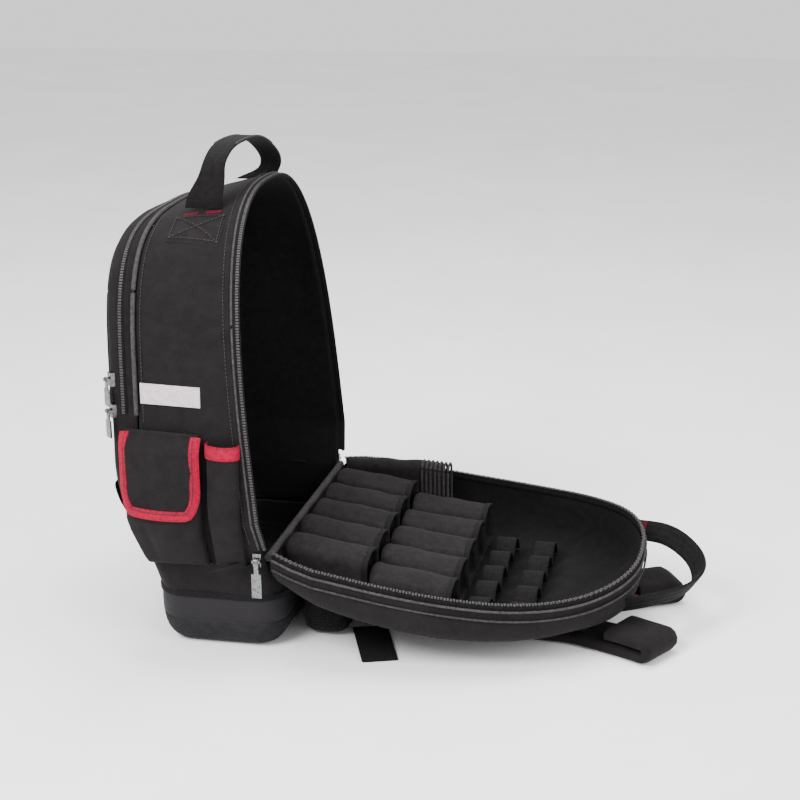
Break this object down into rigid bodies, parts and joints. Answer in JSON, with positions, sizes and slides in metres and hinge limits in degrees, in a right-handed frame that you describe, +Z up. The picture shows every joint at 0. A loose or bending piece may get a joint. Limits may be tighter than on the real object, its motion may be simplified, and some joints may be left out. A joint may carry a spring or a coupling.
{
  "type": "tool backpack",
  "caption": "Open tool backpack: arched fabric body on a moulded tub, its back panel folded down as a lid with tool sleeves and elastic loops.",
  "frame": {"origin": "middle of the tub's flat underside, on the ground", "axes": "+X from the front pockets towards the end of the open lid, +Y across the width, +Z up"},
  "size_m": [0.6351, 0.4117, 0.5471],
  "materials": {
    "fabric": "woven polyester, matt charcoal",
    "lining": "smooth black lining",
    "webbing": "nylon webbing",
    "tub_plastic": "moulded, pebbled below and smooth above",
    "red_webbing": "red woven band",
    "red_thread": "dense dark red stitching",
    "zip_tape": "grey woven tape",
    "zip_metal": "die-cast, bright",
    "label_film": "bare light film"
  },
  "bodies": {
    "pack": {"body_shell": "fabric", "front_compartment": "fabric", "flap_pocket": "fabric", "slot_pocket": "fabric", "far_pocket": "fabric", "pocket_flap": "fabric", "handle_patch_near": "fabric", "handle_patch_far": "fabric", "lid_shell": "fabric", "tool_sleeves_lower": "fabric", "tool_sleeves_upper": "fabric", "far_sleeve": "fabric", "lumbar_pad": "fabric", "back_pad_near": "fabric", "back_pad_far": "fabric", "shoulder_strap_near": "fabric", "shoulder_strap_far": "fabric", "inner_pockets": "lining", "top_handle": "webbing", "elastic_row_lower": "webbing", "elastic_row_upper": "webbing", "lid_handle": "webbing", "strap_anchor_near": "webbing", "strap_anchor_far": "webbing", "strap_tail_near": "webbing", "strap_tail_far": "webbing", "base_tub": "tub_plastic", "strap_buckle_near": "tub_plastic", "strap_buckle_far": "tub_plastic", "flap_binding": "red_webbing", "slot_band": "red_webbing", "far_band": "red_webbing", "handle_tack_near_front": "red_thread", "handle_tack_near_rear": "red_thread", "handle_tack_far_front": "red_thread", "handle_tack_far_rear": "red_thread", "lid_tack_near": "red_thread", "lid_tack_far": "red_thread", "front_zip_tape": "zip_tape", "front_piping": "zip_tape", "opening_zip_tape": "zip_tape", "hinge_binding": "zip_tape", "lid_zip_tape": "zip_tape", "zip_slider_near": "zip_metal", "zip_slider_far": "zip_metal", "front_slider_upper": "zip_metal", "front_slider_lower": "zip_metal", "label_plate": "label_film"},
    "near_pull": {"pull_tab_near": "zip_metal"},
    "far_pull": {"pull_tab_far": "zip_metal"},
    "front_upper_pull": {"front_pull_upper": "zip_metal"},
    "front_lower_pull": {"front_pull_lower": "zip_metal"}
  },
  "joints": [
    {"name": "near_pull_swing", "type": "hinge", "parent": "pack", "child": "near_pull", "pos_m": [0.0525, -0.17958, 0.11475], "axis": [-1, 0, 0], "range_deg": [0, 150]},
    {"name": "far_pull_swing", "type": "hinge", "parent": "pack", "child": "far_pull", "pos_m": [0.0525, 0.17958, 0.11475], "axis": [1, 0, 0], "range_deg": [0, 150]},
    {"name": "front_upper_pull_swing", "type": "hinge", "parent": "pack", "child": "front_upper_pull", "pos_m": [-0.10853, -0.17445, 0.308], "axis": [-0.7071, 0.7071, 0], "range_deg": [0, 150]},
    {"name": "front_lower_pull_swing", "type": "hinge", "parent": "pack", "child": "front_lower_pull", "pos_m": [-0.10853, -0.17445, 0.273], "axis": [-0.7071, 0.7071, 0], "range_deg": [0, 150]}
  ]
}
